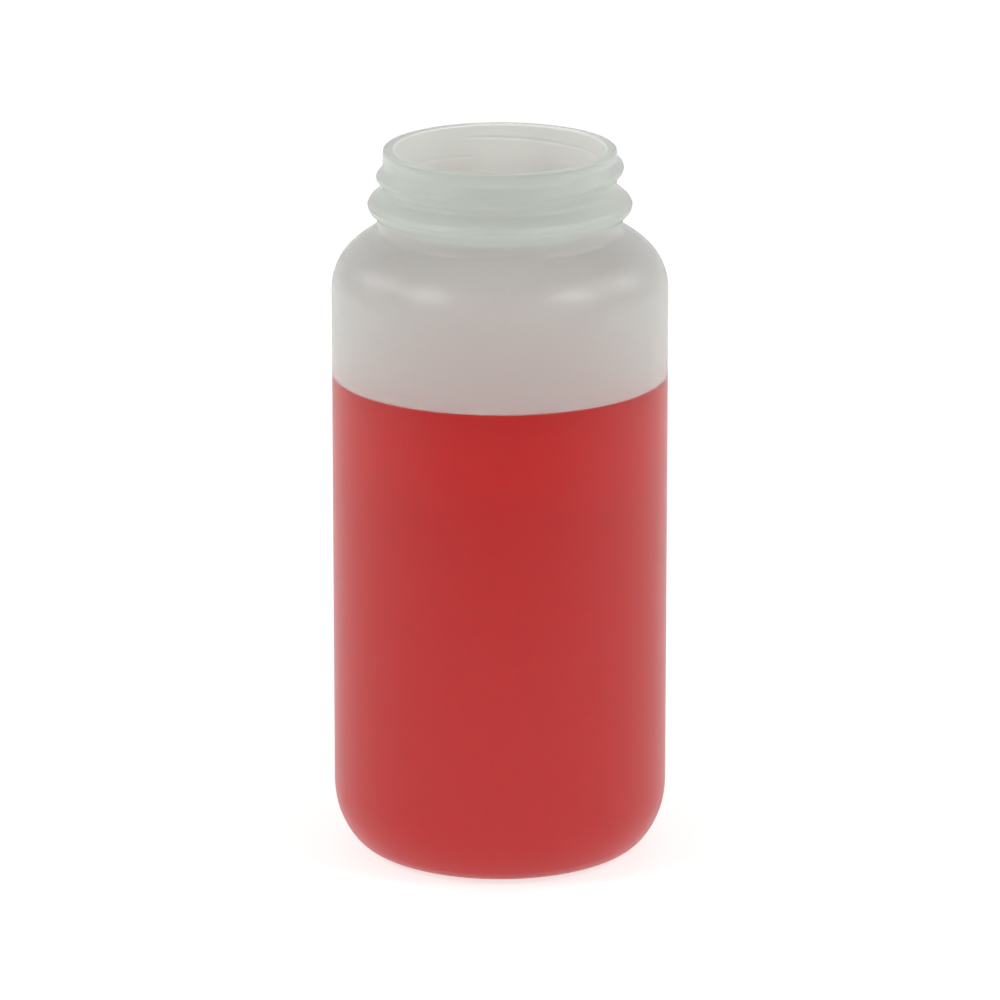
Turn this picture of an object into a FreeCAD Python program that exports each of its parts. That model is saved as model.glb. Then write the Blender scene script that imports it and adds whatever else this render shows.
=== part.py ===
"""Wide-mouth jar: blow-moulded polyethylene, no cap, two thirds full of liquid.

The jar is one moulded piece: a round body, a domed shoulder, a bead and a neck with one coarse
thread. The liquid is a second solid that fills the cavity up to its level. Sizes are in
millimetres. The origin is the middle of the base, and +Z points up, out of the mouth.
"""
import FreeCAD, Part
import Sketcher
import math
import os

Vector = FreeCAD.Vector

# Driving dimensions: alias, value, meaning
SIZES = [
    ("body_dia", 72.5, "outside diameter of the round body"),
    ("total_height", 156.0, "from the surface it stands on to the rim"),
    ("wall", 1.4, "thickness of base, heel, body and shoulder"),
    ("panel_dia", 38.0, "raised flat panel in the middle of the base"),
    ("ring_dia", 44.0, "inside of the flat ring that the jar stands on"),
    ("push_up", 1.8, "how far the panel is raised"),
    ("heel_start", 13.2, "height at which the body turns into the heel"),
    ("heel_round", 14.5, "heel radius"),
    ("heel_turn", 55.0, "turn of the heel, which then runs straight to the ring, degrees"),
    ("shoulder_start", 125.5, "height at which the body turns into the shoulder"),
    ("shoulder_round", 12.6, "shoulder radius"),
    ("shoulder_turn", 60.0, "turn of the shoulder, which then runs straight to the neck, degrees"),
    ("neck_dia", 52.9, "neck between the shoulder and the bead"),
    ("neck_wall", 2.1, "thickness of that part of the neck"),
    ("bead_dia", 56.8, "outside diameter of the bead"),
    ("bead_height", 143.8, "height of the bead's crest"),
    ("bead_round", 1.95, "radius of the bead's crest"),
    ("bead_flank", 48.0, "slope of the bead's flanks from upright, degrees"),
    ("finish_dia", 50.2, "neck wall that carries the thread"),
    ("bore_dia", 45.4, "mouth"),
    ("bore_depth", 12.0, "length of the straight part of the mouth"),
    ("bore_taper", 3.0, "height over which the mouth opens into the neck"),
    ("rim_edge", 0.3, "width of the broken edges of the rim"),
    ("thread_dia", 53.0, "outside diameter of the thread"),
    ("thread_pitch", 4.233, "rise of the thread in a turn: six turns in an inch"),
    ("thread_crest", 0.7, "width of the thread's crest"),
    ("thread_flank", 38.0, "slope of the thread's flanks from upright, degrees"),
    ("thread_sunk", 0.3, "how far the thread's section reaches into the neck"),
    ("thread_side", 149.9, "height of the crest where the thread passes the -X side"),
    ("thread_begin", 116.0, "angle about the axis where the full thread begins, degrees"),
    ("thread_sweep", 342.0, "angle that the full thread covers, degrees"),
    ("thread_fade", 22.0, "angle over which each end fades into the neck, degrees"),
    ("thread_sink", 1.5, "how far down a faded end lies in the neck"),
    ("liquid_level", 106.3, "height of the liquid's surface"),
]

# The sketch's numbers for the ends of a line, and for its two axes
START = 1
END = 2
FLOOR_AXIS = -1
JAR_AXIS = -2

# Each round of the section is this many equal chords, which keeps the turned faces few and plain
CHORDS = 5


def make_sheet(doc):
    """Put the driving dimensions into the spreadsheet, one row each."""
    sheet = doc.addObject("Spreadsheet::Sheet", "Sizes")
    for row, (alias, value, meaning) in enumerate(SIZES, start=1):
        sheet.set(f"A{row}", alias)
        sheet.set(f"B{row}", str(value))
        sheet.set(f"C{row}", meaning)
        sheet.setAlias(f"B{row}", alias)
    doc.recompute()
    return sheet


def new_body(doc, name, label):
    """Make an empty body. Its label names its file."""
    body = doc.addObject("PartDesign::Body", name)
    body.Label = label
    body.Placement = FreeCAD.Placement()
    return body


def polar(centre, radius, degrees):
    """Return the point at this radius and angle from a centre."""
    angle = math.radians(degrees)
    return centre + Vector(radius * math.cos(angle), radius * math.sin(angle), 0)


def run_to(start, radius, degrees):
    """Return the point where a straight run at this angle reaches a radius from the axis."""
    return start + Vector(radius - start.x, (radius - start.x) * math.tan(math.radians(degrees)), 0)


class Outline:
    """A closed outline in an upright sketch, where x is the radius and y is the height.

    Each piece starts where the one before it ends, and constraints hold joints and sizes.
    Angles are in degrees, anticlockwise from outwards.
    """

    def __init__(self, body, name):
        self.sketch = body.newObject("Sketcher::SketchObject", name)
        planes = body.Origin.OriginFeatures
        upright = next(plane for plane in planes if plane.Role == "XZ_Plane")
        self.sketch.AttachmentSupport = [(upright, "")]
        self.sketch.MapMode = "FlatFace"
        self.first = None
        self.last = None

    def hold(self, rule, *items):
        """Add a constraint that has no size."""
        self.sketch.addConstraint(Sketcher.Constraint(rule, *items))

    def measure(self, expression, rule, *items):
        """Add a constraint whose size is worked out from the sheet."""
        value = float(self.sketch.evalExpression(expression))
        if rule == "Angle":
            value = math.radians(value)
            expression = f"({expression}) * 1 deg"
        number = self.sketch.addConstraint(Sketcher.Constraint(rule, *items, value))
        self.sketch.setExpression(f"Constraints[{number}]", expression)

    def out(self, piece, point, expression):
        """Set how far a point is from the jar's axis."""
        self.measure(expression, "DistanceX", FLOOR_AXIS, START, piece, point)

    def up(self, piece, point, expression):
        """Set how high a point is."""
        self.measure(expression, "DistanceY", FLOOR_AXIS, START, piece, point)

    def line(self, start, end, rule=None, slope=None):
        """Add a straight piece: rule may hold Horizontal or Vertical, slope gives an angle."""
        piece = self.sketch.addGeometry(Part.LineSegment(start, end), False)
        if rule:
            self.hold(rule, piece)
        if slope:
            self.measure(slope, "Angle", piece)
        if self.first is None:
            self.first = piece
        else:
            self.hold("Coincident", self.last, END, piece, START)
        self.last = piece
        return piece

    def round(self, centre, radius, begin, finish, size, begin_text, turn_text):
        """Add an anticlockwise round as equal chords, each held by its length and slope.

        The expressions give the radius, the first angle and the angle turned in all.
        """
        step = (finish - begin) / CHORDS
        share = f"({turn_text}) / {CHORDS}"
        for number in range(CHORDS):
            start = polar(centre, radius, begin + number * step)
            end = polar(centre, radius, begin + (number + 1) * step)
            slope = f"{begin_text} + ({number} + 0.5) * {share} + 90"
            chord = self.line(start, end, slope=slope)
            self.measure(f"2 * ({size}) * sin({share} / 2 * 1 deg)", "Distance", chord)

    def close(self):
        """Tie the last piece to the first."""
        self.hold("Coincident", self.last, END, self.first, START)


class Wall:
    """One face of the moulded wall: the outside, or the cavity a wall's thickness further in."""

    def __init__(self, body, name, sizes, inside):
        self.outline = Outline(body, name)
        self.sizes = sizes
        self.inside = inside
        self.depth = sizes.wall if inside else 0.0
        self.less = "- Sizes.wall" if inside else ""
        self.more = "+ Sizes.wall" if inside else ""
        self.radius = sizes.body_dia / 2 - self.depth

    def bend_centre(self, height, radius):
        """Return a round's centre, which lies its radius in from the body."""
        return Vector(self.sizes.body_dia / 2 - radius, height, 0)

    def bend_point(self, height, radius, angle):
        """Return the point of a round at this angle."""
        return polar(self.bend_centre(height, radius), radius - self.depth, angle)

    def bend(self, height, radius, begin, finish, name, begin_text):
        """Draw a round that runs into the body."""
        centre = self.bend_centre(height, radius)
        size = f"Sizes.{name}_round {self.less}"
        turn_text = f"Sizes.{name}_turn"
        self.outline.round(centre, radius - self.depth, begin, finish, size, begin_text, turn_text)

    def draw_base(self, top, top_text):
        """Draw raised panel, standing ring, heel and body, up to this height."""
        sizes, outline = self.sizes, self.outline
        slope = 90 - sizes.heel_turn
        toe = self.bend_point(sizes.heel_start, sizes.heel_round, -sizes.heel_turn)
        run = (toe.y - self.depth) / math.tan(math.radians(slope))
        peak = Vector(0, sizes.push_up + self.depth, 0)
        panel_edge = Vector(sizes.panel_dia / 2, peak.y, 0)
        ring = Vector(sizes.ring_dia / 2, self.depth, 0)
        foot = Vector(toe.x - run, self.depth, 0)

        panel = outline.line(peak, panel_edge, "Horizontal")
        outline.hold("PointOnObject", panel, START, JAR_AXIS)
        outline.up(panel, START, f"Sizes.push_up {self.more}")
        outline.out(panel, END, "Sizes.panel_dia / 2")
        outline.line(panel_edge, ring)
        standing = outline.line(ring, foot, "Horizontal")
        outline.out(standing, START, "Sizes.ring_dia / 2")
        if self.inside:
            outline.up(standing, START, "Sizes.wall")
        else:
            outline.hold("PointOnObject", standing, START, FLOOR_AXIS)

        outline.line(foot, toe, slope="90 - Sizes.heel_turn")
        self.bend(sizes.heel_start, sizes.heel_round, -sizes.heel_turn, 0, "heel", "-Sizes.heel_turn")
        start = Vector(self.radius, sizes.heel_start, 0)
        body = outline.line(start, Vector(self.radius, top, 0), "Vertical")
        outline.out(body, END, f"Sizes.body_dia / 2 {self.less}")
        outline.up(body, START, "Sizes.heel_start")
        outline.up(body, END, top_text)

    def draw_shoulder(self, neck_radius):
        """Draw the shoulder, and return the point where the neck stands on it."""
        sizes = self.sizes
        turn = sizes.shoulder_turn
        top = self.bend_point(sizes.shoulder_start, sizes.shoulder_round, turn)
        self.bend(sizes.shoulder_start, sizes.shoulder_round, 0, turn, "shoulder", "0")
        foot = run_to(top, neck_radius, turn + 90)
        self.outline.line(top, foot, slope="Sizes.shoulder_turn + 90")
        return foot

    def finish(self, edge):
        """Close the outline along its flat top, and down the axis."""
        outline = self.outline
        outline.line(edge, Vector(0, edge.y, 0), "Horizontal")
        axis = outline.line(Vector(0, edge.y, 0), Vector(0, self.sizes.push_up + self.depth, 0))
        outline.hold("PointOnObject", axis, START, JAR_AXIS)
        outline.close()
        return outline.sketch


def draw_bead(outline, sizes, stem_foot):
    """Draw the stem of the neck and the bead: flank, round crest and flank."""
    slope = sizes.bead_flank
    neck = sizes.neck_dia / 2
    centre = Vector(sizes.bead_dia / 2 - sizes.bead_round, sizes.bead_height, 0)
    low = polar(centre, sizes.bead_round, -slope)
    high = polar(centre, sizes.bead_round, slope)
    lower = run_to(low, neck, 90 - slope)
    upper = run_to(high, sizes.finish_dia / 2, 90 + slope)
    stem = outline.line(stem_foot, lower, "Vertical")
    outline.out(stem, START, "Sizes.neck_dia / 2")
    outline.line(lower, low, slope="90 - Sizes.bead_flank")
    outline.round(centre, sizes.bead_round, -slope, slope, "Sizes.bead_round",
                  "-Sizes.bead_flank", "2 * Sizes.bead_flank")
    flank = outline.line(high, upper, slope="90 + Sizes.bead_flank")
    inset = "Sizes.bead_round * (1 - cos(Sizes.bead_flank * 1 deg))"
    outline.out(flank, START, f"Sizes.bead_dia / 2 - {inset}")
    outline.up(flank, START, "Sizes.bead_height + Sizes.bead_round * sin(Sizes.bead_flank * 1 deg)")
    return upper


def draw_outside(body, sizes):
    """Draw the outside of the jar: base, body, shoulder, bead and neck."""
    wall = Wall(body, "OutsideProfile", sizes, inside=False)
    outline = wall.outline
    wall.draw_base(sizes.shoulder_start, "Sizes.shoulder_start")
    foot = wall.draw_shoulder(sizes.neck_dia / 2)
    bead_top = draw_bead(outline, sizes, foot)
    edge = sizes.rim_edge
    side_top = Vector(sizes.finish_dia / 2, sizes.total_height - edge, 0)
    rim = side_top + Vector(-edge, edge, 0)
    side = outline.line(bead_top, side_top, "Vertical")
    outline.out(side, END, "Sizes.finish_dia / 2")
    outline.up(side, END, "Sizes.total_height - Sizes.rim_edge")
    broken = outline.line(side_top, rim, slope="135")
    outline.up(broken, END, "Sizes.total_height")
    return wall.finish(rim)


def draw_cavity(body, sizes):
    """Draw the cavity: base, body and shoulder, then the neck and the mouth."""
    wall = Wall(body, "CavityProfile", sizes, inside=True)
    outline = wall.outline
    wall.draw_base(sizes.shoulder_start, "Sizes.shoulder_start")
    foot = wall.draw_shoulder(sizes.neck_dia / 2 - sizes.neck_wall)
    bore = sizes.bore_dia / 2
    edge = sizes.rim_edge
    mouth_foot = Vector(bore, sizes.total_height - sizes.bore_depth, 0)
    mouth_top = Vector(bore, sizes.total_height - edge, 0)
    rim = mouth_top + Vector(edge, edge, 0)
    stem_top = Vector(foot.x, mouth_foot.y - sizes.bore_taper, 0)
    stem = outline.line(foot, stem_top, "Vertical")
    outline.out(stem, END, "Sizes.neck_dia / 2 - Sizes.neck_wall")
    outline.up(stem, END, "Sizes.total_height - Sizes.bore_depth - Sizes.bore_taper")
    outline.line(stem_top, mouth_foot)
    mouth = outline.line(mouth_foot, mouth_top, "Vertical")
    outline.out(mouth, END, "Sizes.bore_dia / 2")
    outline.up(mouth, START, "Sizes.total_height - Sizes.bore_depth")
    outline.up(mouth, END, "Sizes.total_height - Sizes.rim_edge")
    broken = outline.line(mouth_top, rim, slope="45")
    outline.up(broken, END, "Sizes.total_height")
    return wall.finish(rim)


def draw_liquid(body, sizes):
    """Draw the liquid, which fills the cavity up to its level."""
    wall = Wall(body, "LiquidProfile", sizes, inside=True)
    wall.draw_base(sizes.liquid_level, "Sizes.liquid_level")
    return wall.finish(Vector(wall.radius, sizes.liquid_level, 0))


def turn_round(body, name, sketch, kind):
    """Turn a closed outline once round the jar's axis, to add or to cut a solid."""
    feature = body.newObject(kind, name)
    feature.Profile = sketch
    feature.ReferenceAxis = (sketch, ["V_Axis"])
    feature.Angle = 360
    body.Document.recompute()
    return feature


def thread_section(body, sizes, name, angle, angle_text):
    """Draw the thread's section in the upright plane at this angle about the axis."""
    outline = Outline(body, name)
    sketch = outline.sketch
    turned = FreeCAD.Rotation(Vector(0, 1, 0), angle)
    sketch.AttachmentOffset = FreeCAD.Placement(Vector(), turned)
    sketch.setExpression("AttachmentOffset.Rotation.Angle", f"({angle_text}) * 1 deg")

    root = sizes.finish_dia / 2 - sizes.thread_sunk
    crest = sizes.thread_dia / 2
    middle = sizes.thread_side + sizes.thread_pitch * (angle - 180) / 360
    low = Vector(crest, middle - sizes.thread_crest / 2, 0)
    high = Vector(crest, middle + sizes.thread_crest / 2, 0)
    slope = sizes.thread_flank
    low_root = run_to(low, root, 90 - slope)
    high_root = run_to(high, root, 90 + slope)

    outline.line(low_root, low, slope="90 - Sizes.thread_flank")
    top = outline.line(low, high, "Vertical")
    outline.line(high, high_root, slope="90 + Sizes.thread_flank")
    back = outline.line(high_root, low_root, "Vertical")
    outline.close()
    rise = f"Sizes.thread_pitch * ({angle_text} - 180) / 360"
    outline.out(top, START, "Sizes.thread_dia / 2")
    outline.up(top, START, f"Sizes.thread_side + {rise} - Sizes.thread_crest / 2")
    outline.measure("Sizes.thread_crest", "Distance", top)
    outline.out(back, START, "Sizes.finish_dia / 2 - Sizes.thread_sunk")
    body.Document.recompute()
    return sketch


def wind(body, name, sketch, turns, growth, downwards):
    """Carry a section along a right-hand helix, whose expressions give turns and growth in a turn."""
    helix = body.newObject("PartDesign::AdditiveHelix", name)
    helix.Profile = sketch
    helix.ReferenceAxis = (sketch, ["V_Axis"])
    helix.HasBeenEdited = True
    helix.Mode = "height-turns-growth"
    helix.Reversed = downwards
    helix.setExpression("Turns", turns)
    helix.setExpression("Height", f"Sizes.thread_pitch * {turns}")
    helix.setExpression("Growth", growth)
    body.Document.recompute()


def add_thread(body, sizes):
    """Wind the thread: full over nearly a turn, and at each end a run that fades into the neck."""
    begin = (sizes.thread_begin, "Sizes.thread_begin")
    finish = (begin[0] + sizes.thread_sweep, "Sizes.thread_begin + Sizes.thread_sweep")
    fade = "(Sizes.thread_fade / 360)"
    sinking = f"-Sizes.thread_sink / {fade}"
    runs = {
        "ThreadBody": (begin, "(Sizes.thread_sweep / 360)", "0", False),
        "ThreadFinish": (finish, fade, sinking, False),
        "ThreadStart": (begin, fade, sinking, True),
    }
    for name, (place, turns, growth, downwards) in runs.items():
        section = thread_section(body, sizes, f"{name}Section", *place)
        wind(body, name, section, turns, growth, downwards)


def make_jar(doc, sizes):
    """Mould the jar: its outside, then the thread, then the cavity."""
    body = new_body(doc, "Jar", "jar")
    turn_round(body, "Outside", draw_outside(body, sizes), "PartDesign::Revolution")
    add_thread(body, sizes)
    turn_round(body, "Cavity", draw_cavity(body, sizes), "PartDesign::Groove")
    return body


def make_liquid(doc, sizes):
    """Make the liquid that stands in the jar."""
    body = new_body(doc, "Liquid", "liquid")
    turn_round(body, "Fill", draw_liquid(body, sizes), "PartDesign::Revolution")
    return body


def check(doc, bodies):
    """Stop where an object failed, or where a sub-part isn't one valid solid."""
    for item in doc.Objects:
        if "Invalid" in item.State or "Error" in item.State:
            raise RuntimeError(f"{item.Name} failed: {item.State}")
        if item.TypeId == "Sketcher::SketchObject" and not item.FullyConstrained:
            raise RuntimeError(f"{item.Name} isn't fully constrained")
    for body in bodies:
        shape = body.Shape
        if shape.isNull() or not shape.isValid() or len(shape.Solids) != 1:
            raise RuntimeError(f"{body.Label} isn't one valid solid")
        box = shape.BoundBox
        print(f"{body.Label}: {shape.Volume / 1000:.1f} ml, {box.XLength:.2f} x {box.ZLength:.2f} mm")


def main():
    """Build both sub-parts and write one file for each."""
    doc = FreeCAD.newDocument("WideMouthJar")
    sizes = make_sheet(doc)
    bodies = [make_jar(doc, sizes), make_liquid(doc, sizes)]
    doc.recompute()
    check(doc, bodies)
    os.makedirs("parts", exist_ok=True)
    for body in bodies:
        body.Shape.exportStep(f"parts/{body.Label}.step")


main()
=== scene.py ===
"""Looks of a wide-mouth jar of natural polyethylene, two thirds full of red liquid.

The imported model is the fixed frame. The jar's wall and the liquid in it are each made again as a
closed surface with true arcs, a rounded thread and the marks that blow moulding leaves, and stand
for the CAD nodes jar and liquid. Sizes are in millimetres until a mesh is made, angles in degrees,
and +Z runs up the jar's axis.
"""
import logging
import math
from collections.abc import Sequence
from dataclasses import dataclass
from enum import Enum
from typing import Any

import bpy
import numpy as np
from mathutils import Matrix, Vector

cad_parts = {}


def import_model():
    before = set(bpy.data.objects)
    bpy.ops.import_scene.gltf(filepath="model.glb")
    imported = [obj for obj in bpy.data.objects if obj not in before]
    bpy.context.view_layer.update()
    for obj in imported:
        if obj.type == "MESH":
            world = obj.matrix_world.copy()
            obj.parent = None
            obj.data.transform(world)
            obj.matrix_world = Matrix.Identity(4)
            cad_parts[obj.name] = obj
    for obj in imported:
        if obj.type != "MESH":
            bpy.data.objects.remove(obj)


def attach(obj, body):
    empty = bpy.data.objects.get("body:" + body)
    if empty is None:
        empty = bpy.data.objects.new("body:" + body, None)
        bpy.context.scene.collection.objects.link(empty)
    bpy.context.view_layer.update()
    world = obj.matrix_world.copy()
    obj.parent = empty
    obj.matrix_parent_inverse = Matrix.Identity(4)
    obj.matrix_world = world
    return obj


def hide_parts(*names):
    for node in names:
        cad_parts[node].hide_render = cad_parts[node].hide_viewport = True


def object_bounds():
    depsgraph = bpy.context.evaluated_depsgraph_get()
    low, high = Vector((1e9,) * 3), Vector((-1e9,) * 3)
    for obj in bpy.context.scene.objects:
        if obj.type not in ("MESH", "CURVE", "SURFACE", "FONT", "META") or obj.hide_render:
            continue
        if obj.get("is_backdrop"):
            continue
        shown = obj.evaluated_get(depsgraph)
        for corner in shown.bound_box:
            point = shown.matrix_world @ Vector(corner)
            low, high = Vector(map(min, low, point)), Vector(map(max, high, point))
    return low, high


Array = np.ndarray
Tree = bpy.types.NodeTree
Node = bpy.types.Node

MM = 0.001
FULL_TURN = 360.0
HALF_TURN = 180.0
TINY = 1e-6
BODY = "root"

log = logging.getLogger("jar")


class Skin(Enum):
    """The faces of the moulded wall, each with its own finish."""

    OUTSIDE = 0
    CAVITY = 1
    BORE = 2


# Sections


@dataclass(frozen=True)
class Corner:
    """A corner of an upright section.

    Args:
        out: distance from the jar's axis.
        up: height.
        rounding: radius that the corner is rounded to.
    """

    out: float
    up: float
    rounding: float = 0.0


def fillet(before: Corner, corner: Corner, after: Corner, step: float) -> Array:
    """Round one corner with an arc.

    The arc touches both sides at radius * tan(turn / 2) from the corner. Its centre lies one
    radius square off the first side, and its points are that centre plus the spoke to the first
    touching point, turned in equal steps.

    Args:
        before: the corner before it.
        corner: the corner to round.
        after: the corner after it.
        step: largest turn between two points.

    Returns:
        Points of the arc, one (out, up) row each.
    """
    here = np.array([corner.out, corner.up])
    first = here - (before.out, before.up)
    second = np.array([after.out, after.up]) - here
    first = first / np.hypot(*first)
    second = second / np.hypot(*second)
    turn = math.atan2(first[0] * second[1] - first[1] * second[0], float(first @ second))
    if not corner.rounding:
        return here[None, :]
    start = here - first * corner.rounding * math.tan(abs(turn) / 2)
    square = np.array([-first[1], first[0]]) * math.copysign(1.0, turn)
    spoke = -square * corner.rounding
    count = max(2, math.ceil(math.degrees(abs(turn)) / step))
    angle = np.linspace(0.0, turn, count + 1)[:, None]
    swung = np.array([-spoke[1], spoke[0]])
    return start - spoke + np.cos(angle) * spoke + np.sin(angle) * swung


def section(corners: Sequence[Corner], step: float) -> Array:
    """Join corners into one smooth line.

    Args:
        corners: the corners in order. The two ends aren't rounded.
        step: largest turn between two points of an arc.

    Returns:
        Points of the line, one (out, up) row each.
    """
    inner = zip(corners, corners[1:], corners[2:])
    rounds = [fillet(before, corner, after, step) for before, corner, after in inner]
    ends = [np.array([[end.out, end.up]]) for end in (corners[0], corners[-1])]
    return np.concatenate([ends[0], *rounds, ends[1]])


def divide(line: Array, longest: Array) -> Array:
    """Divide each run of a line into equal parts.

    A run gets ceil(length / longest) parts, and each new point lies on it by that share.

    Args:
        line: points, one (out, up) row each.
        longest: the longest part allowed on each run.

    Returns:
        The old and new points in order.
    """
    run = np.diff(line, axis=0)
    parts = np.maximum(1, np.ceil(np.hypot(*run.T) / longest)).astype(int)
    which = np.repeat(np.arange(len(parts)), parts)
    first = np.repeat(np.cumsum(parts) - parts, parts)
    share = (np.arange(parts.sum()) - first) / parts[which]
    return np.concatenate([line[which] + share[:, None] * run[which], line[-1:]])


# Surfaces


def smooth_max(low: Array, high: Array, blend: float) -> Array:
    """Join two surfaces with a hollow.

    The result is half of low + high + root((low - high) squared + blend squared).
    """
    return (low + high + np.sqrt((low - high) ** 2 + blend**2)) / 2


def ease(share: Array) -> Array:
    """Go from 0 to 1 with level ends: share squared times (3 - 2 * share)."""
    held = np.clip(share, 0.0, 1.0)
    return held * held * (3 - 2 * held)


def hump(distance: Array, half_width: float) -> Array:
    """Return a low rounded ridge: (1 - (distance / half width) squared) squared, 0 outside it."""
    return np.clip(1 - (distance / half_width) ** 2, 0.0, 1.0) ** 2


def turned_grid(out: Array, up: Array, angles: Array) -> Array:
    """Place a grid of radii and heights about the axis.

    x = out * cos(angle), y = out * sin(angle), z = up.

    Args:
        out: radii, a row for each ring and a column for each angle.
        up: heights in the same layout.
        angles: angles in radians.

    Returns:
        Points in metres, in rings x angles x 3 layout.
    """
    return np.stack([out * np.cos(angles), out * np.sin(angles), up], axis=-1) * MM


def closed_mesh(
    name: str, rings: Array, poles: Array, skins: Array | None = None
) -> bpy.types.Object:
    """Make an object from rings about the axis, closed by a fan at each end.

    Face (i, j) joins rings i and i + 1 between angles j and j + 1, and the last angle joins the
    first. The rings run up the outside first, so the faces point out of the solid.

    Args:
        name: name of the object.
        rings: points in rings x angles x 3 layout, in metres.
        poles: the first and last point, which lie on the axis, in metres.
        skins: material index of the first fan, of each band between rings, and of the last fan.

    Returns:
        The object, smooth shaded, at the origin.
    """
    count, around = rings.shape[:2]
    index = np.arange(count * around).reshape(count, around)
    beside = np.roll(index, -1, axis=1)
    quads = np.stack([index[:-1], beside[:-1], beside[1:], index[1:]], axis=-1).reshape(-1, 4)
    start = np.full(around, count * around)
    end = start + 1
    first_fan = np.stack([start, beside[0], index[0]], axis=-1)
    last_fan = np.stack([end, index[-1], beside[-1]], axis=-1)
    points = np.concatenate([rings.reshape(-1, 3), poles])

    mesh = bpy.data.meshes.new(name)
    faces = [*quads.tolist(), *first_fan.tolist(), *last_fan.tolist()]
    mesh.from_pydata(points.tolist(), [], faces)
    mesh.polygons.foreach_set("use_smooth", np.ones(len(mesh.polygons), bool))
    if skins is not None:
        skin_of_face = np.repeat(np.concatenate([skins[1:-1], skins[[0, -1]]]), around)
        mesh.polygons.foreach_set("material_index", skin_of_face.astype(np.int32))
    mesh.update()
    piece = bpy.data.objects.new(name, mesh)
    bpy.context.scene.collection.objects.link(piece)
    return piece


# Finishes


def linear(hex_code: str) -> tuple[float, float, float, float]:
    """Turn an sRGB hex colour into linear red, green, blue and alpha."""
    shares = [int(hex_code[i : i + 2], 16) / 255 for i in (1, 3, 5)]
    red, green, blue = (s / 12.92 if s <= 0.04045 else ((s + 0.055) / 1.055) ** 2.4 for s in shares)
    return red, green, blue, 1.0


def add_node(tree: Tree, kind: str, settings: dict[str, Any] | None = None, **inputs: Any) -> Node:
    """Add a node.

    Args:
        tree: node tree to add it to.
        kind: Blender's name of the node's type.
        settings: properties of the node, by name.
        **inputs: values or output sockets, by the input's name with _ for a space. An input that
            is known by number is named i and the number.

    Returns:
        The node.
    """
    node = tree.nodes.new(kind)
    for name, value in (settings or {}).items():
        setattr(node, name, value)
    for name, value in inputs.items():
        numbered = name[0] == "i" and name[1:].isdigit()
        socket = node.inputs[int(name[1:]) if numbered else name.replace("_", " ")]
        if isinstance(value, bpy.types.NodeSocket):
            tree.links.new(value, socket)
        else:
            socket.default_value = value
    return node


def new_material(name: str) -> tuple[bpy.types.Material, Tree]:
    """Make an empty node material and return it with its tree."""
    material = bpy.data.materials.new(name)
    material.use_nodes = True
    material.node_tree.nodes.clear()
    return material, material.node_tree


def per_metre(size: float) -> float:
    """Turn the size of one grain, in millimetres, into a pattern's scale per metre."""
    return 1.0 / (size * MM)


@dataclass(frozen=True)
class MouldedPolyethylene:
    """Natural polyethylene, as one face of a blow-moulded wall.

    Unpigmented polyethylene is part crystal, so it is cloudy rather than clear: light goes
    through it, but spreads so much that only what touches the far face can be made out.

    Args:
        name: name of the material.
        tint: colour that light takes in passing.
        passing: share of light that goes through, where the rest is scattered back.
        gloss_loss: roughness of the face.
        grain: size of the mould's blasted texture.
        grain_depth: height of that texture.
        drift: distance between the slow swells that uneven blowing leaves.
        drift_depth: height of the swells.
        index: refractive index of polyethylene.
    """

    name: str
    tint: str
    passing: float
    gloss_loss: float
    grain: float
    grain_depth: float
    drift: float
    drift_depth: float
    index: float = 1.51

    def build(self) -> bpy.types.Material:
        """Make the material."""
        material, tree = new_material(self.name)
        place = add_node(tree, "ShaderNodeTexCoord").outputs["Object"]
        grain = add_node(
            tree, "ShaderNodeTexNoise", Vector=place, Scale=per_metre(self.grain), Detail=2.0
        )
        swell = add_node(
            tree, "ShaderNodeTexNoise", Vector=place, Scale=per_metre(self.drift), Detail=1.0
        )
        slow = add_node(
            tree,
            "ShaderNodeBump",
            Height=swell.outputs["Fac"],
            Distance=self.drift_depth * MM,
            Strength=1.0,
        )
        fine = add_node(
            tree,
            "ShaderNodeBump",
            Height=grain.outputs["Fac"],
            Distance=self.grain_depth * MM,
            Strength=1.0,
            Normal=slow.outputs["Normal"],
        )
        shader = add_node(
            tree,
            "ShaderNodeBsdfPrincipled",
            Base_Color=linear(self.tint),
            Roughness=self.gloss_loss,
            IOR=self.index,
            Transmission_Weight=self.passing,
            Normal=fine.outputs["Normal"],
        )
        add_node(tree, "ShaderNodeOutputMaterial", Surface=shader.outputs["BSDF"])
        return material


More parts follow.
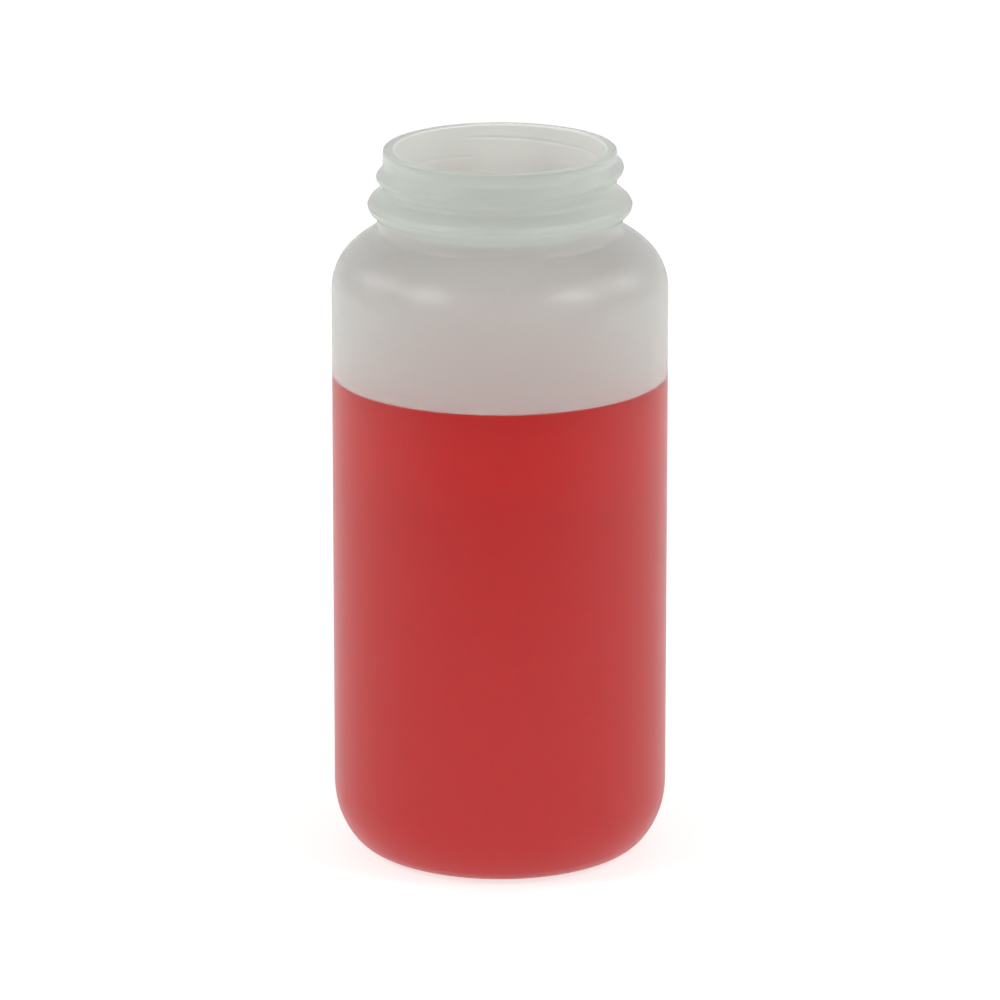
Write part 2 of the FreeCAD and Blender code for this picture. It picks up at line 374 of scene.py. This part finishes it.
@dataclass(frozen=True)
class DyedWater:
    """Water with enough red dye that a jarful lets no light through unchanged.

    It is drawn as a deep scattering red, and its values are fitted to the photograph. Against the
    wall its red is painted lighter towards the free surface: painted light, for the light that
    comes in from above. Where it wets the wall, the two refract almost alike, so the boundary
    reflects next to nothing.

    Args:
        name: name of the material.
        mirror: share of the usual reflection at its surface, where 0.5 is all of it.
        top_colour: colour from the top height up, where the photographed liquid is lighter; on the
            side against the wall this lighter red is painted light.
        deep_colour: colour below the height where the painted light begins.
        painted_light_bottom: height where the painted light begins, where the colour starts to
            change to that of the top.
        painted_light_top: height where the painted light is full and the colour is that of the top,
            close under the free surface.
        index: refractive index of water.
        gloss_loss: roughness of the surface, which is almost none.
        red_reach: how far red light strays in it, in millimetres.
        reach_shares: share of that reach for red, green and blue light.
    """

    name: str
    mirror: float
    top_colour: str = "#F8080F"
    deep_colour: str = "#D6080F"
    painted_light_bottom: float = 82.0
    painted_light_top: float = 106.0
    index: float = 1.333
    gloss_loss: float = 0.04
    red_reach: float = 200.0
    reach_shares: tuple[float, float, float] = (1.0, 0.05, 0.05)

    def build(self) -> bpy.types.Material:
        """Make the material."""
        material, tree = new_material(self.name)
        place = add_node(tree, "ShaderNodeTexCoord").outputs["Object"]
        parts = add_node(tree, "ShaderNodeSeparateXYZ", Vector=place)
        # Painted light: the red turns lighter towards the free surface, for the light that comes in
        # from above.
        painted_light_ramp = add_node(
            tree,
            "ShaderNodeMapRange",
            Value=parts.outputs["Z"],
            From_Min=self.painted_light_bottom * MM,
            From_Max=self.painted_light_top * MM,
        )
        red = add_node(
            tree,
            "ShaderNodeMix",
            {"data_type": "RGBA"},
            i0=painted_light_ramp.outputs["Result"],
            i6=linear(self.deep_colour),
            i7=linear(self.top_colour),
        )
        shader = add_node(
            tree,
            "ShaderNodeBsdfPrincipled",
            Base_Color=red.outputs[2],
            Roughness=self.gloss_loss,
            IOR=self.index,
            Specular_IOR_Level=self.mirror,
            Subsurface_Weight=1.0,
            Subsurface_Radius=self.reach_shares,
            Subsurface_Scale=self.red_reach * MM,
        )
        add_node(tree, "ShaderNodeOutputMaterial", Surface=shader.outputs["BSDF"])
        return material


@dataclass(frozen=True)
class LitTable:
    """A sheet of opal acrylic, lit from beneath so that what stands on it throws no dark shadow.

    Args:
        name: name of the material.
        colour: colour of the sheet.
        glow_colour: colour of the lamps under it.
        gloss_loss: roughness of its face.
        glow: light that comes through it under and behind the jar.
        dark_from: where the lamps under it end, in metres in front of the jar.
        dark_by: where their light has died away, in metres in front of the jar.
    """

    name: str = "opal acrylic table"
    colour: str = "#CCCCCA"
    glow_colour: str = "#FFFFFF"
    gloss_loss: float = 0.7
    glow: float = 0.66
    dark_from: float = 0.2
    dark_by: float = 0.34

    def build(self) -> bpy.types.Material:
        """Make the material."""
        material, tree = new_material(self.name)
        place = add_node(tree, "ShaderNodeTexCoord").outputs["Object"]
        parts = add_node(tree, "ShaderNodeSeparateXYZ", Vector=place)
        glow = add_node(
            tree,
            "ShaderNodeMapRange",
            {"interpolation_type": "SMOOTHSTEP"},
            Value=parts.outputs["Y"],
            From_Min=-self.dark_by,
            From_Max=-self.dark_from,
            To_Min=0.0,
            To_Max=self.glow,
        )
        shader = add_node(
            tree,
            "ShaderNodeBsdfPrincipled",
            Base_Color=linear(self.colour),
            Roughness=self.gloss_loss,
            Emission_Color=linear(self.glow_colour),
            Emission_Strength=glow.outputs["Result"],
        )
        add_node(tree, "ShaderNodeOutputMaterial", Surface=shader.outputs["BSDF"])
        return material


# The jar


def foot_corners(side: float, grow: float = 0.0) -> list[Corner]:
    """Return the cavity's lower corners, from the middle of the base to the body.

    Args:
        side: radius of the body's inside.
        grow: how far the corners lie outside the cavity.

    Returns:
        The corners, which go over the raised panel, round its edge and up the heel.
    """
    return [
        Corner(0.0, 3.2 - grow),
        Corner(18.6, 3.2 - grow, 2.4),
        Corner(22.6, 1.4 - grow, 2.4),
        Corner(29.339, 1.4 - grow, 6.8 + grow),
        Corner(side, 8.533, 16.6 + grow),
    ]


@dataclass(frozen=True)
class Thread:
    """One coarse right-hand thread, six turns in an inch, with a fine line along its crest.

    Args:
        crest_out: radius over the crest.
        crest_half: half the width of the crest's flat.
        crest_round: radius of the crest's two edges.
        line_height: height of the fine line along the crest.
        line_half_width: half the width of that line.
        flank: slope of the flanks from upright.
        pitch: rise in one turn.
        left_height: height of the crest at the -X side.
        begin: angle where the full thread begins.
        sweep: angle that it covers.
        fade: angle over which each end sinks into the neck.
        blend: softness of the hollow between thread and neck.
        echo: depth of the shallow groove in the bore behind the thread.
        echo_half_width: half the width of that groove.
    """

    crest_out: float = 26.5
    crest_half: float = 0.4
    crest_round: float = 0.12
    line_height: float = 0.1
    line_half_width: float = 0.22
    flank: float = 38.0
    pitch: float = 4.233
    left_height: float = 149.9
    begin: float = 116.0
    sweep: float = 342.0
    fade: float = 22.0
    blend: float = 0.25
    echo: float = 0.07
    echo_half_width: float = 0.5

    def passes(self, up: Array, angle: Array) -> list[tuple[Array, Array]]:
        """Follow the crest, which climbs by the pitch in a turn and runs past its own start.

        Args:
            up: heights.
            angle: angles in degrees.

        Returns:
            For each turn, the heights above its crest and the eased share of it that shows.
        """
        first = self.begin - self.fade
        length = self.sweep + 2 * self.fade
        turns = []
        for turn in range(math.ceil(length / FULL_TURN)):
            along = np.mod(angle - first, FULL_TURN) + turn * FULL_TURN
            crest_up = self.left_height + self.pitch * (along + first - HALF_TURN) / FULL_TURN
            shown = ease(along / self.fade) * ease((length - along) / self.fade)
            turns.append((up - crest_up, shown))
        return turns

    def over(self, neck: Array, up: Array, angle: Array) -> Array:
        """Raise the thread from the neck.

        Away from the crest's flat, the rib follows an arc of the edge's radius until the arc
        reaches the flank's slope, then the flank. It sinks by the share that doesn't show.

        Args:
            neck: radii of the plain neck.
            up: heights in the same layout.
            angle: angles in degrees.

        Returns:
            The radii with the thread.
        """
        slope = math.radians(self.flank)
        reach = self.crest_round * math.sin(slope)
        for above, shown in self.passes(up, angle):
            away = np.maximum(np.abs(above) - self.crest_half, 0.0)
            arc = self.crest_round - np.sqrt(self.crest_round**2 - np.minimum(away, reach) ** 2)
            drop = arc + np.maximum(away - reach, 0.0) * math.tan(slope)
            line = self.line_height * hump(above, self.line_half_width)
            sunk = (1 - shown) * (self.crest_out - neck + 2 * self.blend)
            neck = smooth_max(neck, self.crest_out + line - drop - sunk, self.blend)
        return neck

    def behind(self, bore: Array, up: Array, angle: Array) -> Array:
        """Widen the bore by the shallow groove behind the thread."""
        for above, shown in self.passes(up, angle):
            bore = bore + self.echo * shown * hump(above, self.echo_half_width)
        return bore


@dataclass
class JarWall:
    """The blow-moulded wall: base, heel, body, shoulder, bead and threaded neck in one piece.

    Args:
        name: name of the piece.
        node: CAD node that it stands for.
        slot: name of a material slot; not used.
        body_out: radius of the body.
        wall: thickness of the body's wall.
        height: height of the rim.
        rim_round: radius of the rim's two edges.
        mouth_out: radius of the mouth.
        finish_out: radius of the neck under the thread.
        finish_foot: height where the neck leaves the bead.
        thread_low: height that the thread stays above.
        thread_high: height that the thread stays below.
        marks_high: height that the parting lines and the thread's groove stay below.
        neck_from: radius that the neck's outside lies beyond.
        bore_foot: height where the thick neck begins, on the inside.
        bore_straight: height that the bore is straight above.
        bead_from: radius that the bead's crest lies beyond.
        panel_within: radius that the raised panel of the base lies within.
        panel_below: height that it lies below.
        columns: even divisions round the jar.
        seam_columns: angles of the closer divisions beside a parting line.
        arc_step: largest turn between two points of an arc of the section.
        fine_row: longest run of the section where the outside carries relief.
        bore_row: longest run on the straight bore.
        panel_row: longest run on the raised panel.
        plain_row: longest run elsewhere.
        ring_up: height of the fine line round the bead.
        ring_reach: distance from that line within which the section is divided finely.
        ring_height: height of that line's relief.
        ring_half_width: half its width.
        seam_height: height of the parting lines' relief.
        seam_half_width: half their width.
        seam_low: height that they begin at.
        seam_from: radius that they lie beyond.
        pinch_height: height of the pinch-off ridge.
        pinch_half_width: half its width.
        pinch_half_length: half its length.
        pinch_fade: length over which each of its ends dies away.
        thread: the thread.
        outside: finish of the face that the mould shaped.
        cavity: finish of the face that the air shaped.
        bore: finish of the inside of the thick neck.
    """

    name: str = "jar_wall"
    node: str = "jar"
    slot: str = "jar_wall"
    body_out: float = 36.25
    wall: float = 1.4
    height: float = 156.0
    rim_round: float = 0.35
    mouth_out: float = 22.7
    finish_out: float = 25.08
    finish_foot: float = 147.64
    thread_low: float = 146.14
    thread_high: float = 155.55
    marks_high: float = 155.5
    neck_from: float = 24.9
    bore_foot: float = 141.0
    bore_straight: float = 145.0
    bead_from: float = 26.6
    panel_within: float = 19.0
    panel_below: float = 2.0
    columns: int = 180
    seam_columns: tuple[float, ...] = (-0.9, -0.6, -0.4, -0.2, 0.2, 0.4, 0.6, 0.9)
    arc_step: float = 5.0
    fine_row: float = 0.08
    bore_row: float = 0.12
    panel_row: float = 0.8
    plain_row: float = 6.0
    ring_up: float = 144.0
    ring_reach: float = 1.0
    ring_height: float = 0.1
    ring_half_width: float = 0.22
    seam_height: float = 0.05
    seam_half_width: float = 0.35
    seam_low: float = 1.0
    seam_from: float = 23.0
    pinch_height: float = 0.3
    pinch_half_width: float = 0.7
    pinch_half_length: float = 16.0
    pinch_fade: float = 2.0
    thread: Thread = Thread()
    # The finely blasted mould leaves a satin face, which mirrors the lamps as soft patches.
    outside: MouldedPolyethylene = MouldedPolyethylene(
        name="natural polyethylene, mould face",
        tint="#FAFBF8",
        passing=1.0,
        gloss_loss=0.36,
        grain=0.35,
        grain_depth=0.008,
        drift=14.0,
        drift_depth=0.06,
    )
    # The cloud in the wall is drawn on its inner face, where it veils what lies behind it.
    cavity: MouldedPolyethylene = MouldedPolyethylene(
        name="natural polyethylene, blown face",
        tint="#FAFAF8",
        passing=0.27,
        gloss_loss=0.5,
        grain=1.2,
        grain_depth=0.01,
        drift=18.0,
        drift_depth=0.1,
    )
    # The neck's wall is thicker, so its face is whiter and hides almost all behind it.
    bore: MouldedPolyethylene = MouldedPolyethylene(
        name="natural polyethylene, thick neck",
        tint="#F4FAF4",
        passing=0.03,
        gloss_loss=0.45,
        grain=1.2,
        grain_depth=0.01,
        drift=9.0,
        drift_depth=0.05,
    )

    def outside_corners(self) -> list[Corner]:
        """Return the outside's corners, from the middle of the base to the rim."""
        return [
            Corner(0.0, 1.8),
            Corner(18.6, 1.8, 2.4),
            Corner(22.6, 0.0, 2.4),
            Corner(30.026, 0.0, 8.2),
            Corner(self.body_out, 8.052, 18.0),
            Corner(self.body_out, 131.032, 12.0),
            Corner(29.5, 136.79, 17.0),
            Corner(26.45, 138.15, 1.3),
            Corner(26.45, 141.176, 2.6),
            Corner(29.364, 143.8, 1.95),
            Corner(self.finish_out, self.finish_foot, 2.6),
            Corner(self.finish_out, self.height, self.rim_round),
        ]

    def cavity_corners(self) -> list[Corner]:
        """Return the cavity's corners, from the rim to the middle of the base."""
        inner = self.body_out - self.wall
        return [
            Corner(self.mouth_out, self.height, self.rim_round),
            Corner(self.mouth_out, 144.0, 2.5),
            Corner(24.35, self.bore_foot, 2.0),
            Corner(24.35, 137.55, 1.2),
            Corner(28.75, 135.6, 14.0),
            Corner(inner, 130.386, 10.6),
            *reversed(foot_corners(inner)),
        ]

    def angles(self) -> Array:
        """Return the grid's angles in degrees, closer together at the two parting lines."""
        even = np.arange(self.columns) * FULL_TURN / self.columns
        close = np.array(self.seam_columns)
        return np.sort(np.concatenate([even, np.mod(close, FULL_TURN), close + HALF_TURN]))

    def zones(self, out: Array, up: Array, outer: Array) -> tuple[Array, Array, Array, Array]:
        """Find where relief may lie.

        Args:
            out: radii.
            up: heights in the same layout.
            outer: whether each point is on the outside.

        Returns:
            Whether each point is on the neck's outside, near the bead's line, on the straight
            bore, and on the outside of the raised panel.
        """
        on_neck = outer & (up > self.thread_low) & (out > self.neck_from)
        on_ring = outer & (np.abs(up - self.ring_up) < self.ring_reach) & (out > self.bead_from)
        on_bore = ~outer & (up > self.bore_straight)
        on_panel = outer & (up < self.panel_below) & (out < self.panel_within)
        return on_neck, on_ring, on_bore, on_panel

    def lines(self) -> tuple[Array, int]:
        """Divide the section finely where relief needs it.

        Returns:
            The points, and how many of them lie below the rim on the outside.
        """
        line = section([*self.outside_corners(), *self.cavity_corners()], self.arc_step)
        out, up = ((line[1:] + line[:-1]) / 2).T
        rim = self.height - TINY
        outer = np.arange(len(out)) <= np.argmax(line[:, 1] >= rim)
        on_neck, on_ring, on_bore, on_panel = self.zones(out, up, outer)
        steps = [self.fine_row, self.bore_row, self.panel_row]
        longest = np.select([on_neck | on_ring, on_bore, on_panel], steps, self.plain_row)
        rows = divide(line, longest)
        return rows, int(np.argmax(rows[:, 1] >= rim))

    def skins(self, rows: Array, below_rim: int) -> Array:
        """Give each band between two points its skin. The outside's reaches across the rim."""
        up = rows[1:, 1]
        on_outside = np.arange(len(up)) <= below_rim
        inside = np.where(up > self.bore_foot, Skin.BORE.value, Skin.CAVITY.value)
        return np.where(on_outside, Skin.OUTSIDE.value, inside)

    def build(self) -> bpy.types.Object:
        """Make the wall and dress it.

        The outside carries the thread, a parting line at each side where the mould's halves met,
        a fine line round the bead, and the pinch-off ridge across the base.

        Returns:
            The piece, which stands for the CAD node.
        """
        rows, below_rim = self.lines()
        degrees = self.angles()
        angle = np.radians(degrees)
        out = np.repeat(rows[1:-1, :1], len(angle), axis=1)
        up = np.repeat(rows[1:-1, 1:], len(angle), axis=1)
        outer = np.arange(len(out))[:, None] < below_rim
        below_edge = up < self.marks_high
        on_neck, on_ring, on_bore, on_panel = self.zones(out, up, outer)

        threaded = self.thread.over(out, up, degrees[None, :])
        echoed = self.thread.behind(out, up, degrees[None, :])
        where = [on_neck & (up < self.thread_high), on_bore & below_edge]
        out = np.select(where, [threaded, echoed], out)
        out = out + on_ring * self.ring_height * hump(up - self.ring_up, self.ring_half_width)

        across = np.abs(out * np.sin(angle))
        on_side = outer & (up > self.seam_low) & below_edge & (out > self.seam_from)
        out = out + on_side * self.seam_height * hump(across, self.seam_half_width)
        inside_end = self.pinch_half_length - np.abs(out * np.cos(angle))
        pinch = self.pinch_height * ease(inside_end / self.pinch_fade)
        up = up - on_panel * pinch * hump(across, self.pinch_half_width)

        poles = np.array([[0.0, 0.0, rows[0, 1] - self.pinch_height], [0.0, 0.0, rows[-1, 1]]]) * MM
        skins = self.skins(rows, below_rim)
        piece = closed_mesh(self.name, turned_grid(out, up, angle), poles, skins)
        for finish in (self.outside, self.cavity, self.bore):
            piece.data.materials.append(finish.build())
        return piece


@dataclass
class Liquid:
    """The liquid: it wets the wall all round, so its side lies a hair inside the wall's skin.

    Args:
        name: name of the piece.
        node: CAD node that it stands for.
        slot: name of a material slot; not used.
        body_out: radius of the body's inside.
        level: height of the free surface.
        rise: how far the surface climbs the wall.
        capillary_length: distance from the wall over which the climb dies away.
        wetting: how far the side lies inside the wall's skin.
        columns: divisions round the jar.
        surface_rows: rings of the free surface, closer together at the wall.
        arc_step: largest turn between two points of an arc of the section.
        plain_row: longest run of the section.
        wetted: finish against the wall.
        free: finish of the free surface.
    """

    name: str = "red_liquid"
    node: str = "liquid"
    slot: str = "liquid"
    body_out: float = 34.85
    level: float = 106.1
    rise: float = 0.3
    capillary_length: float = 2.7
    wetting: float = 0.08
    columns: int = 180
    surface_rows: int = 40
    arc_step: float = 4.0
    plain_row: float = 6.0
    # The side against the wall carries painted light: its red is painted lighter towards the free
    # surface.
    wetted: DyedWater = DyedWater("red dyed water, against the wall", mirror=0.05)
    free: DyedWater = DyedWater("red dyed water, free surface", mirror=0.5, top_colour="#CC080E")

    def build(self) -> bpy.types.Object:
        """Make the liquid and dress it.

        The free surface is level in the middle and climbs the wall by the rise times e to the
        minus distance over the capillary length.

        Returns:
            The piece, which stands for the CAD node.
        """
        side = self.body_out + self.wetting
        corners = [*foot_corners(side, self.wetting), Corner(side, self.level + self.rise)]
        wall = divide(section(corners, self.arc_step), np.full(1, self.plain_row))
        out = side * (1 - np.linspace(0.0, 1.0, self.surface_rows) ** 2)
        climb = self.rise * np.exp((out - side) / self.capillary_length)
        rows = np.concatenate([wall, np.stack([out, self.level + climb], axis=-1)[1:]])
        angle = np.radians(np.arange(self.columns) * FULL_TURN / self.columns)
        out = np.repeat(rows[1:-1, :1], len(angle), axis=1)
        up = np.repeat(rows[1:-1, 1:], len(angle), axis=1)
        poles = np.array([[0.0, 0.0, rows[0, 1]], [0.0, 0.0, rows[-1, 1]]]) * MM
        skins = (np.arange(len(rows) - 1) >= len(wall) - 1).astype(int)
        piece = closed_mesh(self.name, turned_grid(out, up, angle), poles, skins)
        for finish in (self.wetted, self.free):
            piece.data.materials.append(finish.build())
        return piece


# The studio


@dataclass(frozen=True)
class SoftLamp:
    """A square soft lamp that faces the jar.

    Args:
        name: name of the lamp.
        way: direction from the jar, as (right, back, up).
        size: edge length in metres.
        power: watts.
        distance: distance from the jar in metres.
    """

    name: str
    way: tuple[float, float, float]
    size: float
    power: float
    distance: float = 1.6

    def build(self, aim_height: float) -> None:
        """Make the lamp and turn it to the point of the jar's axis at the aim height."""
        light = bpy.data.lights.new(self.name, "AREA")
        light.shape = "SQUARE"
        light.size = self.size
        light.energy = self.power
        lamp = bpy.data.objects.new(self.name, light)
        place = np.array(self.way) / np.linalg.norm(self.way) * self.distance
        azimuth = math.atan2(place[1], place[0])
        tilt = math.acos(place[2] / np.linalg.norm(place))
        lamp.location = place + (0.0, 0.0, aim_height)
        lamp.rotation_euler = (tilt, 0.0, azimuth + math.pi / 2)
        bpy.context.scene.collection.objects.link(lamp)


@dataclass
class Studio:
    """A lit table, even room light, soft lamps and the camera at the photograph's angle.

    Args:
        floor_half: half the floor's edge length in metres.
        floor_drop: gap between floor and jar in metres.
        focal_length: the camera's focal length in millimetres.
        sight: how far the camera sees, in metres.
        pitch: how far it looks down.
        distance: its distance from the point that it looks at, in metres.
        aim_height: height of that point in metres.
        room: colour of the room's light.
        room_sides: its strength from the sides.
        room_ends: what is added to that from the front and the back.
        room_top: what is taken from it overhead.
        lamps: the soft lamps.
    """

    floor_half: float = 4.0
    floor_drop: float = 0.00005
    focal_length: float = 259.2
    sight: float = 50.0
    pitch: float = 16.1
    distance: float = 1.5643
    aim_height: float = 0.0776
    room: str = "#FFFFFF"
    room_sides: float = 0.4
    room_ends: float = 0.54
    room_top: float = 0.3
    lamps: tuple[SoftLamp, ...] = (
        SoftLamp("left side light", (-0.84, 0.26, 0.47), size=0.38, power=2.75),
        SoftLamp("left front light", (-0.67, -0.39, 0.63), size=0.45, power=5.7),
        SoftLamp("right side light", (0.84, 0.26, 0.47), size=0.38, power=2.75),
        SoftLamp("right front light", (0.67, -0.39, 0.63), size=0.45, power=5.7),
        SoftLamp("top light", (0.0, 0.0, 1.0), size=0.45, power=1.1),
    )

    def add_floor(self) -> None:
        """Lay the floor a hair under the jar, and mark it as stage."""
        half, low = self.floor_half, -self.floor_drop
        mesh = bpy.data.meshes.new("floor")
        corners = [(-half, -half, low), (half, -half, low), (half, half, low), (-half, half, low)]
        mesh.from_pydata(corners, [], [(0, 1, 2, 3)])
        floor = bpy.data.objects.new("floor", mesh)
        floor.data.materials.append(LitTable().build())
        bpy.context.scene.collection.objects.link(floor)
        floor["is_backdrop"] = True

    def add_room(self) -> None:
        """Surround the scene with even light, brighter in front and behind and dimmer overhead.

        Strength = sides + ends * y squared - top * z squared, for a direction (x, y, z).
        """
        world = bpy.data.worlds.new("studio room")
        world.use_nodes = True
        tree = world.node_tree
        tree.nodes.clear()
        way = add_node(tree, "ShaderNodeTexCoord").outputs["Generated"]
        squared = add_node(
            tree,
            "ShaderNodeVectorMath",
            {"operation": "MULTIPLY"},
            i0=way,
            i1=way,
        )
        shares = add_node(
            tree,
            "ShaderNodeVectorMath",
            {"operation": "DOT_PRODUCT"},
            i0=squared.outputs["Vector"],
            i1=(0.0, self.room_ends, -self.room_top),
        )
        strength = add_node(
            tree,
            "ShaderNodeMath",
            {"operation": "ADD"},
            i0=shares.outputs["Value"],
            i1=self.room_sides,
        )
        shader = add_node(
            tree, "ShaderNodeBackground", Color=linear(self.room), Strength=strength.outputs[0]
        )
        add_node(tree, "ShaderNodeOutputWorld", Surface=shader.outputs["Background"])
        bpy.context.scene.world = world

    def add_camera(self) -> None:
        """Set the camera up: level, on the jar's axis, looking down at it by the pitch."""
        camera = bpy.data.cameras.new("camera")
        camera.lens = self.focal_length
        camera.clip_end = self.sight
        holder = bpy.data.objects.new("camera", camera)
        tilt = math.radians(self.pitch)
        back = self.distance * math.cos(tilt)
        holder.location = (0.0, -back, self.aim_height + self.distance * math.sin(tilt))
        holder.rotation_euler = (math.pi / 2 - tilt, 0.0, 0.0)
        bpy.context.scene.collection.objects.link(holder)
        bpy.context.scene.camera = holder

    def build(self) -> None:
        """Build floor, room, lights and camera."""
        self.add_floor()
        self.add_room()
        for lamp in self.lamps:
            lamp.build(self.aim_height)
        self.add_camera()
        bpy.context.scene.view_settings.view_transform = "Standard"


def main() -> None:
    """Load the frame, build the pieces in order and report each."""
    logging.basicConfig(level=logging.INFO, format="%(name)s: %(message)s")
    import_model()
    cad_box = [corner.copy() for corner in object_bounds()]
    for part in (JarWall(), Liquid()):
        piece = part.build()
        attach(piece, BODY)
        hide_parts(part.node)
        log.info("%s: %d faces", piece.name, len(piece.data.polygons))
    Studio().build()


if __name__ == "__main__":
    main()
